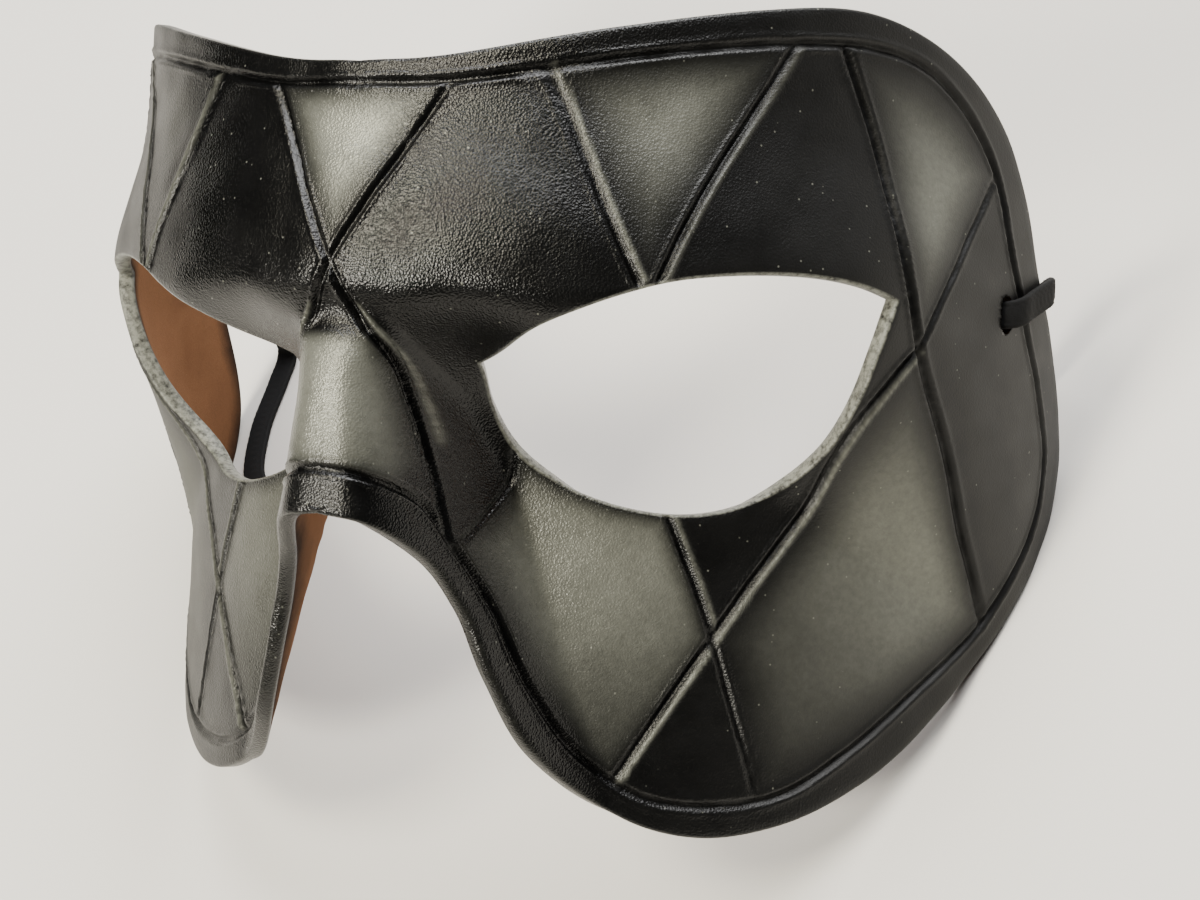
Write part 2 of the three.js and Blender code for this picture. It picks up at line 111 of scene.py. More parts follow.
# Lines tooled into the leather: a border round the rim, and the sides of the diamonds
BORDER = [
    (0, 26.7), (14.9, 27.3), (28.6, 29.6), (49.5, 33.9), (64.8, 36.6), (75.7, 37.5), (84.6, 36),
    (92.5, 31.1), (101.2, 21.5), (106.5, 11), (112.7, -1), (117.7, -12), (120.5, -22), (119, -30),
    (114.3, -37.5), (107, -44.5), (98.9, -51.3), (84.5, -61.9), (72, -71.5), (60.8, -78.3),
    (48.6, -80.2), (39.1, -78.8), (30.3, -73), (23.6, -61.8), (18.9, -50.2), (14.7, -41.1),
    (10.6, -33.3), (6, -30.6), (0, -30),
]
DIAMOND_LINES = [
    [(0, 0), (14.9, 27.3)],
    [(28.6, 29.6), (44.8, -0.8)],
    [(63.3, 36.3), (54.2, 17.6), (47.6, -0.4)],
    [(70.9, 37.2), (79, 17.8), (87.6, -7.2), (92.5, -22.5), (94.5, -35.6), (98.9, -51.3)],
    [(101.2, 21.5), (94.8, 7.2), (87.6, -7.2)],
    [(87.6, -7.2), (80.1, -14.6), (66.9, -27.4), (55.1, -43.4), (34.9, -76.5)],
    [(40.8, -34.9), (46.7, -48.7), (52, -64.1), (57.1, -79.2)],
    [(18, -26.3), (15.2, -40)],
    [(0, 0), (3.8, -7.4), (7.4, -12.5), (9.1, -19.4), (11.1, -28.1), (14, -39.2)],
]
# Each line's width and depth, as shares of the tool's own
LINE_FORCE = [0.85, 1.0, 0.95, 1.25, 0.7, 1.05, 0.85, 0.6, 1.0]
# The painted shade's width in a line, the raised lip's distance and the lip's width, as shares of the
# groove's half width
LINE_SHADE_WIDTH = 1.35
LIP_PLACE = 2.1
LIP_WIDTH = 0.62

# Diamonds that are sprayed silver: outline on the pattern, strength on the wearer's left and right,
# soft edge in mm, and the middle of the spray with its radius. The strengths on the right are lowered
# to suit the render, as painted shade on the far side: nothing shows that the paint there is weaker.
SILVER_CELLS = [
    ([(0, 0), (14.9, 27.3), (0, 26.7), (-14.9, 27.3)], 1.1, 1.1, 7.0, (0, 20), 12),
    ([(28.6, 29.6), (49.5, 33.9), (63.3, 36.3), (54.2, 17.6), (47.6, -0.4), (44.8, -0.8)],
     0.6, 0.1, 10.0, (49, 25), 14),
    ([(70.9, 37.2), (84.6, 36), (92.5, 31.1), (101.2, 21.5), (94.8, 7.2), (87.6, -7.2),
      (79, 17.8)], 0.85, 0.3, 9.0, (88, 14), 15),
    ([(6, -9.5), (8.2, -15), (9.1, -19.4), (11.1, -28.1), (10.6, -33.3), (6, -30.6), (0, -30),
      (-6, -30.6), (-10.6, -33.3), (-11.1, -28.1), (-9.1, -19.4), (-8.2, -15), (-6, -9.5)],
     0.85, 0.85, 3.0, (0, -18), 13),
    ([(18, -26.3), (24.6, -30.9), (32.3, -33.7), (40.8, -34.9), (46.7, -48.7), (48.6, -54.1),
      (34.9, -76.5), (30.3, -73), (23.6, -61.8), (18.9, -50.2), (14.7, -41.1)],
     0.8, 0.5, 4.0, (33, -42), 17),
    ([(87.6, -7.2), (92.5, -22.5), (94.5, -35.6), (98.9, -51.3), (84.5, -61.9), (72, -71.5),
      (60.8, -78.3), (57.1, -79.2), (52, -64.1), (48.6, -54.1), (55.1, -43.4), (66.9, -27.4),
      (80.1, -14.6)], 0.8, 0.4, 10.0, (87, -40), 22),
]
# How much of the silver on the eye openings' cut edges, which also stands in as painted glints, is put
# on the rim's cut edge too
RIM_EDGE_SILVER = 0.05
# How strong the spray is far from its middle, as a share of the middle's
SPRAY_BASE = 0.12

# Lips rubbed with silver, the silver also standing in as painted highlights on the lips: which diamond
# line, on which side of it, how strongly, and from how far along it to how far, in mm
SILVERED_LIPS_AND_HIGHLIGHTS = [
    (1, 1, 0.8, 0, 40), (2, 1, 0.3, 0, 50), (5, 1, 1.0, 0, 120), (6, 1, 0.6, 0, 19),
    (8, 1, 0.8, 9, 27),
]
# How far beside its line a silvered lip lies, and how wide its silver and painted highlight is, in mm
LIP_DISTANCE = 1.0
LIP_RADIUS = 0.34

# The slot for the cord in each temple, and how far its cutter reaches behind the face and
# before it, in thicknesses of the leather
SLOT_ACROSS = 107.6
SLOT_UP = -0.5
SLOT_LENGTH = 6.2
SLOT_WIDTH = 3.4
SLOT_REACH = (-2.0, 1.5)
SLOT_ROUND_POINTS = 13

# The cord's thickness, its ribs' height, its slant wave's height and length and how far its
# surface is let in, all in mm, the power that squares its section, and the height where its
# quarter turn begins with the further height that the turn takes
CORD_THICKNESS = 1.4
CORD_RIB_HEIGHT = 0.1
CORD_SLANT_HEIGHT = 0.06
CORD_SLANT_LENGTH = 1.5
CORD_SUNK = 0.12
CORD_SQUARENESS = 0.55
CORD_TWIST_BOTTOM = 2.3
CORD_TWIST_HEIGHT = 20.0

# The cord's route on the ground frame, millimetres: from short of one knot through the
# slot, over the rim and along the ground, and the same back on the other side
CORD_ROUTE = [
    (-77.9, 31.2, 38.8), (-80.2, 31.4, 38.9), (-82.6, 31.9, 38.7), (-83.8, 33.2, 37.7),
    (-84.4, 35.9, 35.5), (-85.2, 39.3, 32.7), (-85.6, 41.9, 30.4), (-84.6, 44, 27.7),
    (-82.3, 45.3, 23.5), (-80.3, 45.5, 18), (-79, 44.7, 12), (-78, 42.3, 6.7),
    (-78.4, 39.5, 1.3), (-78.4, 33, 0.8), (-78.2, 21, 0.8), (-74.5, 9.5, 0.8), (-65, 6.3, 0.8),
    (-50, 10, 0.8), (-36, 8, 0.8), (-22, -1, 0.8), (-8, -11, 0.8), (6, -14, 0.8),
    (20, -8.5, 0.8), (36, 1, 0.8), (54, 8, 0.8), (67, 18, 0.8), (74, 31, 0.9),
    (76.6, 38.5, 1.6), (78.2, 42.3, 7.5), (79, 44.7, 12), (80.3, 45.5, 18),
    (82.3, 45.3, 23.5), (84.6, 44, 27.7), (85.6, 41.9, 30.4), (85.2, 39.3, 32.7),
    (84.4, 35.9, 35.5), (83.8, 33.2, 37.7), (82.6, 31.9, 38.7), (80.2, 31.4, 38.9),
    (77.9, 31.2, 38.8),
]

# The knot's loop and weave, its strand's half thickness and ribs, and how flat it is pulled
KNOT_LOOP = 0.52
KNOT_WEAVE = 1.1
KNOT_STRAND = 1.15
KNOT_RIB_HEIGHT = 0.09
KNOT_FLATNESS = 0.85

# How many grains of each pattern go into a millimetre, and how deep each bump is in mm
PEBBLES = 2.9
WRINKLES = 2.1
DYE_CLOUDS = 0.13
SPECKLE = 0.9
SPECKS_AND_GLINTS = 0.8
FIBRES = 2.4
HIDE_CLOUDS = 0.09
YARNS = 3.5
GRAIN_DEPTH = 0.07
NAP_DEPTH = 0.15
YARN_DEPTH = 0.1

# Points on each stretch of a curve, stretches measured in one go, points on each ray over
# the face, and how strongly and from how many mm away its rows crowd to a tooled line
CURVE_POINTS = 24
STRETCHES_AT_ONCE = 24
RAY_POINTS = 121
ROW_CROWDING = 3.2
ROW_CROWDING_REACH = 2.2
# How closely stations stand in the four parts round the eye: above it, below it, and along
# the middle line below and above the eye's inner corner
PART_FINENESS = (1, 1, 1.5, 1.9)
# How deep in the leather the waves of hand moulding die away, in mm
MOULDING_DEPTH = 1.2
FAR = 1e9
TINY = 1e-9

# The camera's place in mm and its directions on the ground frame, from the same fit
CAMERA_PLACE = (163.7, -151.8, 319.8)
CAMERA_RIGHT = (0.9079, 0.2591, -0.3296)
CAMERA_FORWARD = (-0.4145, 0.4363, -0.7986)
CAMERA_LENS = 63.0
CAMERA_SENSOR = 36.0


def linear(hex_colour):
    """sRGB hex to linear red, green, blue, by the sRGB curve."""
    value = np.array([int(hex_colour[place:place + 2], 16) for place in (1, 3, 5)]) / 255.0
    value = np.where(value <= 0.04045, value / 12.92, ((value + 0.055) / 1.055) ** 2.4)
    return tuple(float(channel) for channel in value)


class MaskLeather(bpy.types.PropertyGroup):
    groove_depth: bpy.props.FloatProperty(
        name="Line depth", description="How deep the tool presses a line",
        default=0.75 * MM, min=0, unit="LENGTH", precision=5)
    groove_width: bpy.props.FloatProperty(
        name="Line half width", description="Half the width of a pressed line",
        default=0.52 * MM, min=0.0001, unit="LENGTH", precision=5)
    lip_height: bpy.props.FloatProperty(
        name="Lip height", description="How far the leather stands up beside a line",
        default=0.22 * MM, min=0, unit="LENGTH", precision=5)
    edge_radius: bpy.props.FloatProperty(
        name="Edge radius", description="How round the cut edges are rubbed",
        default=0.5 * MM, min=0.0001, unit="LENGTH", precision=5)
    dye: bpy.props.FloatVectorProperty(
        name="Dye", description="Colour of the dyed grain side",
        default=linear("#050505"), subtype="COLOR", size=3, min=0, max=1)
    silver: bpy.props.FloatVectorProperty(
        name="Silver", description="Colour of the sprayed diamonds",
        default=linear("#76776f"), subtype="COLOR", size=3, min=0, max=1)
    flesh: bpy.props.FloatVectorProperty(
        name="Flesh side", description="Colour of the undyed inside",
        default=linear("#77543b"), subtype="COLOR", size=3, min=0, max=1)


def add_node(tree, kind, inputs=None, **settings):
    """Adds one node, with its settings, and its input values or the sockets they come from."""
    node = tree.nodes.new(kind)
    for name, value in settings.items():
        setattr(node, name, value)
    for socket, value in (inputs or {}).items():
        if isinstance(value, bpy.types.NodeSocket):
            tree.links.new(value, node.inputs[socket])
        else:
            node.inputs[socket].default_value = value
    return node


def smooth_step(value):
    """0 below 0, 1 above 1, and t squared times (3 - 2t) between."""
    share = np.clip(value, 0, 1)
    return share * share * (3 - 2 * share)


def bell(distance, span):
    """e to the minus (distance / span) squared."""
    return np.exp(-(distance / span) ** 2)


def face_point(across, up):
    """The outer face: a cylinder round the head whose depth goes as 1 - cosine of the angle,
    less the forehead's lean and the cheek's set-back (smooth steps up the face), plus a nose
    whose section is a raised cosine, a bell-shaped hollow beside it and a bell-shaped brow."""
    angle = across / WRAP_HALF_WIDTH
    side = np.where(angle < 0, -1.0, 1.0)
    x = WRAP_HALF_WIDTH * np.sin(angle)
    away = np.abs(x)
    temple = smooth_step((np.abs(angle) - TEMPLE_START) / (TEMPLE_END - TEMPLE_START))
    step_height = CHEEK_SET_BACK_HEIGHT + TEMPLE_LENGTHENING * temple
    step_down = smooth_step((CHEEK_SET_BACK_TOP - up) / step_height)
    set_back = -CHEEK_SET_BACK * (1 - TEMPLE_FADE * temple) * step_down
    lean = -FOREHEAD_LEAN * smooth_step(up / FOREHEAD_LEAN_HEIGHT)
    wrap = -WRAP_DEPTH * (1 - np.cos(angle))
    rise = smooth_step((NOSE_TOP - up) / NOSE_RISE_HEIGHT)
    dip = NOSE_ROOT_DIP * bell(up - NOSE_ROOT_HEIGHT, NOSE_ROOT_SPAN)
    crest = NOSE_CREST_LIFT - set_back * rise - dip
    half_width = NOSE_HALF_WIDTH_TOP + NOSE_WIDENING * np.maximum(0, NOSE_WIDENING_TOP - up)
    share = np.minimum(1, away / half_width) ** NOSE_ROUNDNESS
    nose = crest * 0.5 * (1 + np.cos(np.pi * share))
    socket = (-SOCKET_DEPTH * bell(away - SOCKET_ACROSS, SOCKET_HALF_WIDTH)
              * bell(up - SOCKET_UP, SOCKET_HALF_HEIGHT))
    swelling = (BROW_SWELLING * bell(np.abs(across) - BROW_SWELLING_ACROSS, BROW_SWELLING_RADIUS)
                * bell(up - BROW_SWELLING_UP, BROW_SWELLING_RADIUS))
    return np.stack([
        x + side * swelling * np.abs(np.sin(angle)),
        up + 0 * across,
        lean + set_back + wrap + nose + socket + swelling * np.cos(angle),
    ], axis=-1)


def face_normal(across, up):
    """The unit cross product of the face's slopes across and up."""
    step = 0.01
    along_across = face_point(across + step, up) - face_point(across - step, up)
    along_up = face_point(across, up + step) - face_point(across, up - step)
    normal = np.cross(along_across, along_up)
    return normal / np.linalg.norm(normal, axis=-1, keepdims=True)


def lay_down(points):
    """Turns face axes back by the rest tilt about X and moves them to the ground frame."""
    cosine, sine = np.cos(REST_TILT), np.sin(REST_TILT)
    x, y, z = np.moveaxis(points, -1, 0)
    return np.stack([
        x, y * cosine - z * sine - REST_FORWARD, y * sine + z * cosine + REST_HEIGHT], axis=-1)


def smooth_line(points, step, closed=False):
    """A centripetal Catmull-Rom curve through the points, at even steps along it."""
    points = np.asarray(points, float)
    if closed:
        padded = np.vstack([points[-1], points, points[:2]])
    else:
        padded = np.vstack([2 * points[0] - points[1], points, 2 * points[-1] - points[-2]])
    before, start, end, after = padded[:-3], padded[1:-2], padded[2:-1], padded[3:]
    knots = np.sqrt(np.linalg.norm(np.diff(padded, axis=0), axis=1, keepdims=True))
    lead, span, trail = knots[:-2], knots[1:-1], knots[2:]
    leave = ((start - before) / lead - (end - before) / (lead + span) + (end - start) / span) * span
    arrive = ((end - start) / span - (after - start) / (span + trail) + (after - end) / trail) * span
    t = np.linspace(0, 1, CURVE_POINTS, endpoint=False)[:, None, None]
    dense = ((2 * t ** 3 - 3 * t ** 2 + 1) * start + (t ** 3 - 2 * t ** 2 + t) * leave
             + (3 * t ** 2 - 2 * t ** 3) * end + (t ** 3 - t ** 2) * arrive)
    dense = dense.transpose(1, 0, 2).reshape(-1, points.shape[1])
    dense = np.vstack([dense, dense[:1] if closed else points[-1:]])
    lengths = np.append(0, np.cumsum(np.linalg.norm(np.diff(dense, axis=0), axis=1)))
    marks = np.linspace(0, lengths[-1], max(2, round(lengths[-1] / step)) + 1)
    return np.stack([np.interp(marks, lengths, column) for column in dense.T], axis=1)


def nearest_on_line(places, line):
    """Distance from each place to the nearest stretch of a line, and how far along that is."""
    starts, stretches = line[:-1], np.diff(line, axis=0)
    lengths = np.maximum(np.linalg.norm(stretches, axis=1), TINY)
    reached = np.append(0, np.cumsum(lengths))[:-1]
    flat = places.reshape(-1, places.shape[-1])
    best = np.full(len(flat), FAR)
    along = np.zeros(len(flat))
    for first in range(0, len(starts), STRETCHES_AT_ONCE):
        here = slice(first, first + STRETCHES_AT_ONCE)
        offset = flat[:, None, :] - starts[None, here]
        share = np.einsum("psk,sk->ps", offset, stretches[here]) / lengths[here] ** 2
        share = np.clip(share, 0, 1)
        gap = np.linalg.norm(offset - share[..., None] * stretches[None, here], axis=2)
        pick = gap.argmin(axis=1)
        rows = np.arange(len(flat))
        closer = gap[rows, pick] < best
        best = np.where(closer, gap[rows, pick], best)
        place = reached[here][pick] + share[rows, pick] * lengths[here][pick]
        along = np.where(closer, place, along)
    return best.reshape(places.shape[:-1]), along.reshape(places.shape[:-1])


def inside_outline(across, up, outline):
    """True where a ray to the right crosses the outline an odd number of times."""
    corners = np.asarray(outline, float)
    inside = np.zeros(across.shape, bool)
    for (x0, y0), (x1, y1) in zip(corners, np.roll(corners, -1, axis=0)):
        if y0 == y1:
            continue
        crossing = (up >= min(y0, y1)) & (up < max(y0, y1))
        inside ^= crossing & (across < x0 + (up - y0) * (x1 - x0) / (y1 - y0))
    return inside


def turn_reach(points):
    """A loop as turn angle and distance round the eye centre."""
    offset = points - EYE_CENTRE
    return np.unwrap(np.arctan2(offset[:, 1], offset[:, 0])), np.hypot(offset[:, 0], offset[:, 1])


def at_turn(loop, turn):
    """The loop's place where a ray from the eye centre at this turn meets it."""
    turns, reach = loop
    distance = np.interp(np.mod(turns[0] - turn, 2 * np.pi), turns[0] - turns, reach)
    return EYE_CENTRE + distance[..., None] * np.stack([np.cos(turn), np.sin(turn)], axis=-1)


def pattern_stations(count):
    """Turns round the eye, evenly spaced in the leather between the eye's corners and the
    middle line and closer along that line, with the eye loop, the edge loop and which
    stations stand on the middle."""
    rim = smooth_line(RIM, 0.5)
    middle = np.stack([np.zeros(200), np.linspace(RIM[-1][1], RIM[0][1], 200)], axis=1)
    edge = turn_reach(np.vstack([rim, middle[1:]]))
    upper, lower = smooth_line(EYE_UPPER, 0.3), smooth_line(EYE_LOWER, 0.3)
    eye = turn_reach(np.vstack([upper, lower[1:]]))
    top, bottom = edge[0][0], edge[0][len(rim) - 1]
    outer_corner = eye[0][len(upper) - 1]
    inner_corner = eye[0][-1]
    stops = [top, outer_corner, bottom, inner_corner, top - 2 * np.pi]
    fine = [np.linspace(start, end, 400) for start, end in zip(stops, stops[1:])]
    measures = []
    for turns, fineness in zip(fine, PART_FINENESS):
        stride = np.zeros(len(turns) - 1)
        for loop in (eye, edge):
            stride += np.linalg.norm(np.diff(face_point(*at_turn(loop, turns).T), axis=0), axis=1)
        measures.append(np.append(0, np.cumsum(stride * fineness)))
    whole = sum(measure[-1] for measure in measures)
    turns = np.concatenate([
        np.interp(np.linspace(0, measure[-1], max(3, round(count * measure[-1] / whole)) + 1)[:-1],
                  measure, part) for measure, part in zip(measures, fine)])
    on_middle = (turns <= bottom + TINY) | (turns >= top - TINY)
    return turns, eye, edge, on_middle


def tooling(points, settings):
    """Height of the tooled lines at places on the face: each line is a bell-shaped groove with a
    bell-shaped lip on both sides, pressed a little unevenly along its length. Also how much painted
    shade darkens the line there, from 0 to 1, as a wider bell."""
    depth, width = settings.groove_depth / MM, settings.groove_width / MM
    lip_height = settings.lip_height / MM
    groove = np.zeros(points.shape[:-1])
    line_shade = np.zeros(points.shape[:-1])
    lip = np.zeros(points.shape[:-1])
    half = [np.asarray(line, float) for line in DIAMOND_LINES]
    lines = [(np.asarray(BORDER, float), 1.0)] + list(zip(half, LINE_FORCE))
    crossing = [(half[0] * (-1, 1), LINE_FORCE[0]), (half[-1] * (-1, 1), LINE_FORCE[-1])]
    for line, force in lines + crossing:
        on_face = face_point(*smooth_line(line, 1.0).T)
        gap, along = nearest_on_line(points, on_face)
        press = force * (1 + 0.1 * np.sin(along * 0.83 + line[0, 1]) + 0.07 * np.sin(along * 2.9))
        spread = width * force ** 0.5
        beads = 1 + 0.22 * np.sin(along * 4.1 + 2 * np.sin(along * 0.7))
        groove = np.maximum(groove, press * bell(gap, spread))
        # Painted shade over a bell a little wider than the groove
        line_shade = np.maximum(line_shade, bell(gap, LINE_SHADE_WIDTH * spread))
        raised = bell(gap - LIP_PLACE * spread, LIP_WIDTH * spread)
        lip = np.maximum(lip, press * beads * raised)
    return -depth * groove + lip_height * lip * (1 - np.clip(groove, 0, 1)), line_shade


def silver_spray(across, up, side):
    """How much silver is sprayed on at a place of the pattern, on the wearer's left or
    right: in each sprayed diamond a smooth step of the distance in from its sides, strongest
    in a bell round its middle."""
    silver = np.zeros(across.shape)
    places = np.stack([across, up], axis=-1)
    for outline, left, right, soft_edge, middle, radius in SILVER_CELLS:
        # On the wearer's right the lower strength is painted shade
        strength = left if side > 0 else right
        corners = np.asarray(outline, float)
        gap, _ = nearest_on_line(places, np.vstack([corners, corners[:1]]))
        inside = inside_outline(across, up, outline)
        away = np.linalg.norm(places - middle, axis=-1)
        burst = SPRAY_BASE + (1 - SPRAY_BASE) * bell(away, radius)
        here = strength * burst * smooth_step(gap / soft_edge)
        silver = np.maximum(silver, np.where(inside, here, 0))
    return silver


def lip_silver_and_highlights(across, up):
    """Silver on raised lips, partly rubbed silver and partly painted highlight: a bell across a line
    set beside the tooled one, in beads whose strength goes as crossed sines along it."""
    silver_and_highlight = np.zeros(across.shape)
    places = np.stack([across, up], axis=-1)
    for number, side, strength, begins, ends in SILVERED_LIPS_AND_HIGHLIGHTS:
        line = smooth_line(DIAMOND_LINES[number], 1.0)
        heading = np.gradient(line, axis=0)
        heading /= np.linalg.norm(heading, axis=1, keepdims=True)
        beside = line + side * LIP_DISTANCE * np.stack([-heading[:, 1], heading[:, 0]], axis=1)
        gap, along = nearest_on_line(places, beside)
        beads = 0.75 + 0.17 * np.sin(3.1 * along + 3 * np.sin(0.7 * along)) + 0.08 * np.sin(6.7 * along)
        reached = smooth_step((along - begins) / 3 + 1) * smooth_step((ends - along) / 3 + 1)
        silver_and_highlight = np.maximum(silver_and_highlight, strength * beads * reached * bell(gap, LIP_RADIUS))
    return silver_and_highlight


def hand_moulding(points):
    """A few crossing sine waves, 10 to 17 mm long, for leather pressed over a form by hand."""
    x, y, z = np.moveaxis(points, -1, 0)
    return (0.04 * np.sin(0.31 * x + 0.53 * y) + 0.03 * np.sin(0.47 * y - 0.29 * z + 1.3)
            + 0.03 * np.sin(0.61 * x - 0.22 * z + 2.1) * np.sin(0.38 * y))


def new_mesh_object(name, points, quads, smooth=True):
    """An object at the origin from points in millimetres and faces of four points."""
    mesh = bpy.data.meshes.new(name)
    mesh.vertices.add(len(points))
    mesh.vertices.foreach_set("co", (points * MM).astype(np.float32).ravel())
    mesh.loops.add(quads.size)
    mesh.loops.foreach_set("vertex_index", quads.astype(np.int32).ravel())
    mesh.polygons.add(len(quads))
    mesh.polygons.foreach_set("loop_start", np.arange(0, quads.size, 4, dtype=np.int32))
    mesh.polygons.foreach_set("use_smooth", np.full(len(quads), smooth))
    mesh.update(calc_edges=True)
    mesh.validate()
    piece = bpy.data.objects.new(name, mesh)
    bpy.context.scene.collection.objects.link(piece)
    return piece


def add_values(piece, name, values):
    """Keeps one number a point on the piece, for its material to read."""
    layer = piece.data.attributes.new(name, "FLOAT", "POINT")
    layer.data.foreach_set("value", values.astype(np.float32))


def shell(settings):
    """The whole shell as points, faces and point values. Each half is a grid: stations
    round the eye by a closed section that runs out over the face, round the cut edge, back
    over the inside and round the eye's cut edge. Rows crowd where a tooled line passes."""
    stations, outer_rows, inner_rows = ((550, 64, 13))
    radius = settings.edge_radius / MM
    turns, eye, edge, on_middle = pattern_stations(stations)
    eye_place, edge_place = at_turn(eye, turns), at_turn(edge, turns)
    edge_place[on_middle, 0] = 0

    def away_from_eye(loop):
        """The loop's normal, pointing away from the eye centre."""
        nudge = 0.004
        ahead = at_turn(loop, turns - nudge) - at_turn(loop, turns + nudge)
        normal = np.stack([-ahead[:, 1], ahead[:, 0]], axis=1)
        return normal / np.linalg.norm(normal, axis=1, keepdims=True)

    eye_away, edge_away = away_from_eye(eye), away_from_eye(edge)
    edge_away[on_middle] = 0
    corner_top = int(np.argmax(edge_place[:, 1] * on_middle))
    corner_bottom = int(np.argmin(np.where(on_middle, edge_place[:, 1], FAR)))
    edge_away[corner_top] = (0, 1)
    edge_away[corner_bottom] = (0, -1)
    inner_end = eye_place + eye_away * radius
    outer_end = edge_place - edge_away * radius

    # Rows over the face, crowded near the tooled lines
    samples = np.linspace(0, 1, RAY_POINTS)
    ray = inner_end[:, None] + (outer_end - inner_end)[:, None] * samples[None, :, None]
    on_ray = face_point(ray[..., 0], ray[..., 1])
    nearest = np.full(ray.shape[:2], FAR)
    for line in [BORDER, *DIAMOND_LINES]:
        gap, _ = nearest_on_line(ray, smooth_line(line, 2.0))
        nearest = np.minimum(nearest, gap)
    stride = np.linalg.norm(np.diff(on_ray, axis=1), axis=2)
    crowd = 1 + ROW_CROWDING * bell(nearest, ROW_CROWDING_REACH)
    weight = stride * 0.5 * (crowd[:, 1:] + crowd[:, :-1])
    reached = np.concatenate([np.zeros((len(turns), 1)), np.cumsum(weight, axis=1)], axis=1)
    reached /= reached[:, -1:]
    step = 2.0 * np.arange(len(turns))[:, None]
    wanted = np.linspace(0, 1, outer_rows + 1)[None] + step
    shares = np.interp(wanted.ravel(), (reached + step).ravel(),
                       np.broadcast_to(samples, reached.shape).ravel()).reshape(wanted.shape)
    shares[:, 0], shares[:, -1] = 0, 1
    shares = (np.roll(shares, 1, axis=0) + shares + np.roll(shares, -1, axis=0)) / 3

    # The closed section of each station: place on the pattern, and depth in the leather
    bend = np.radians([45, 90])
    out = np.concatenate([radius * (np.sin(bend) - 1), [0], radius * (np.cos(bend) - 1)])
    deep = np.concatenate([radius * (1 - np.cos(bend)), [LEATHER_THICKNESS - radius],
                           LEATHER_THICKNESS - radius + radius * np.sin(bend)])
    back = np.linspace(1, 0, inner_rows + 1)[1:]
    span = outer_end - inner_end
    section = np.concatenate([
        inner_end[:, None] + span[:, None] * shares[..., None],
        edge_place[:, None] + edge_away[:, None] * out[None, :, None],
        inner_end[:, None] + span[:, None] * back[None, :, None],
        eye_place[:, None] - eye_away[:, None] * out[None, -2::-1, None],
    ], axis=1)
    rows = outer_rows + 1
    depth = np.concatenate([
        np.zeros(rows), deep, np.full(inner_rows, LEATHER_THICKNESS), deep[-2::-1]])

    across, up = section[..., 0], section[..., 1]
    face = face_point(across, up)
    normal = face_normal(across, up)
    relief = np.zeros(across.shape)
    groove = np.zeros(across.shape)
    # The second value, kept as the groove values, is the painted shade in the lines
    relief[:, :rows], groove[:, :rows] = tooling(face[:, :rows], settings)
    waves = hand_moulding(face) * bell(depth, MOULDING_DEPTH)[None]
    points = face + normal * (relief + waves - depth)[..., None]
    points[..., 0] = np.where(np.abs(across) < TINY, 0, points[..., 0])

    on_face = across[:, :rows], up[:, :rows]
    # Silver on the lips, partly rubbed silver and partly painted highlight
    rubbed_silver_and_glints = lip_silver_and_highlights(*on_face)
    silver = np.zeros((2, *across.shape))
    for half, side in enumerate((1, -1)):
        silver[half, :, :rows] = np.maximum(silver_spray(*on_face, side), rubbed_silver_and_glints)
    # Silver on the cut edges, partly painted glints
    cut = np.zeros(across.shape)
    cut[:, rows:rows + len(out)] = RIM_EDGE_SILVER
    cut[:, rows + len(out) + inner_rows:] = 1
    rim_gap, _ = nearest_on_line(section, smooth_line(RIM, 2.0))
    eye_gap, _ = nearest_on_line(
        section, np.vstack([smooth_line(EYE_UPPER, 2.0), smooth_line(EYE_LOWER, 2.0)]))
    near_edge = np.minimum(rim_gap, eye_gap)

    count, size = across.shape
    index = np.arange(count * size).reshape(count, size)
    ahead, beyond = np.roll(index, -1, axis=0), np.roll(index, -1, axis=1)
    across_corner = np.roll(ahead, -1, axis=1)
    quads = np.stack([index, ahead, across_corner, beyond], axis=-1)
    wanted = np.ones((count, size), bool)
    both_middle = on_middle & np.roll(on_middle, -1)
    wanted[both_middle, rows - 1:rows + len(out) - 1] = False
    inner_face = np.zeros((count, size), bool)
    inner_face[:, rows + len(out) - 1:rows + len(out) - 1 + inner_rows] = True
    quads, inner_face = quads[wanted], inner_face[wanted]

    half = points.reshape(-1, 3)
    other = half * (-1, 1, 1)
    mirror = np.where(half[:, 0] == 0, np.arange(len(half)), np.arange(len(half)) + len(half))
    everything = np.vstack([quads, mirror[quads[:, ::-1]]])
    used, renumbered = np.unique(everything, return_inverse=True)
    all_points = lay_down(np.vstack([half, other])[used])
    all_points[:, 2] = np.maximum(all_points[:, 2], 0)
    values = {
        "groove": groove, "cut_edge": cut, "near_edge": near_edge, "across": np.abs(across),
    }
    values = {name: np.tile(value.ravel(), 2)[used] for name, value in values.items()}
    values["silver"] = silver.ravel()[used]
    return all_points, renumbered.reshape(-1, 4), np.tile(inner_face, 2), values


def slot_ways():
    """The middle of the left slot on the face, and the unit ways there: across the slot, up
    along it, and out of the leather."""
    across, up = np.array(SLOT_ACROSS), np.array(SLOT_UP)
    normal = face_normal(across, up)
    upward = np.array([0, 1, 0]) - normal * normal[1]
    upward /= np.linalg.norm(upward)
    return face_point(across, up), np.cross(upward, normal), upward, normal


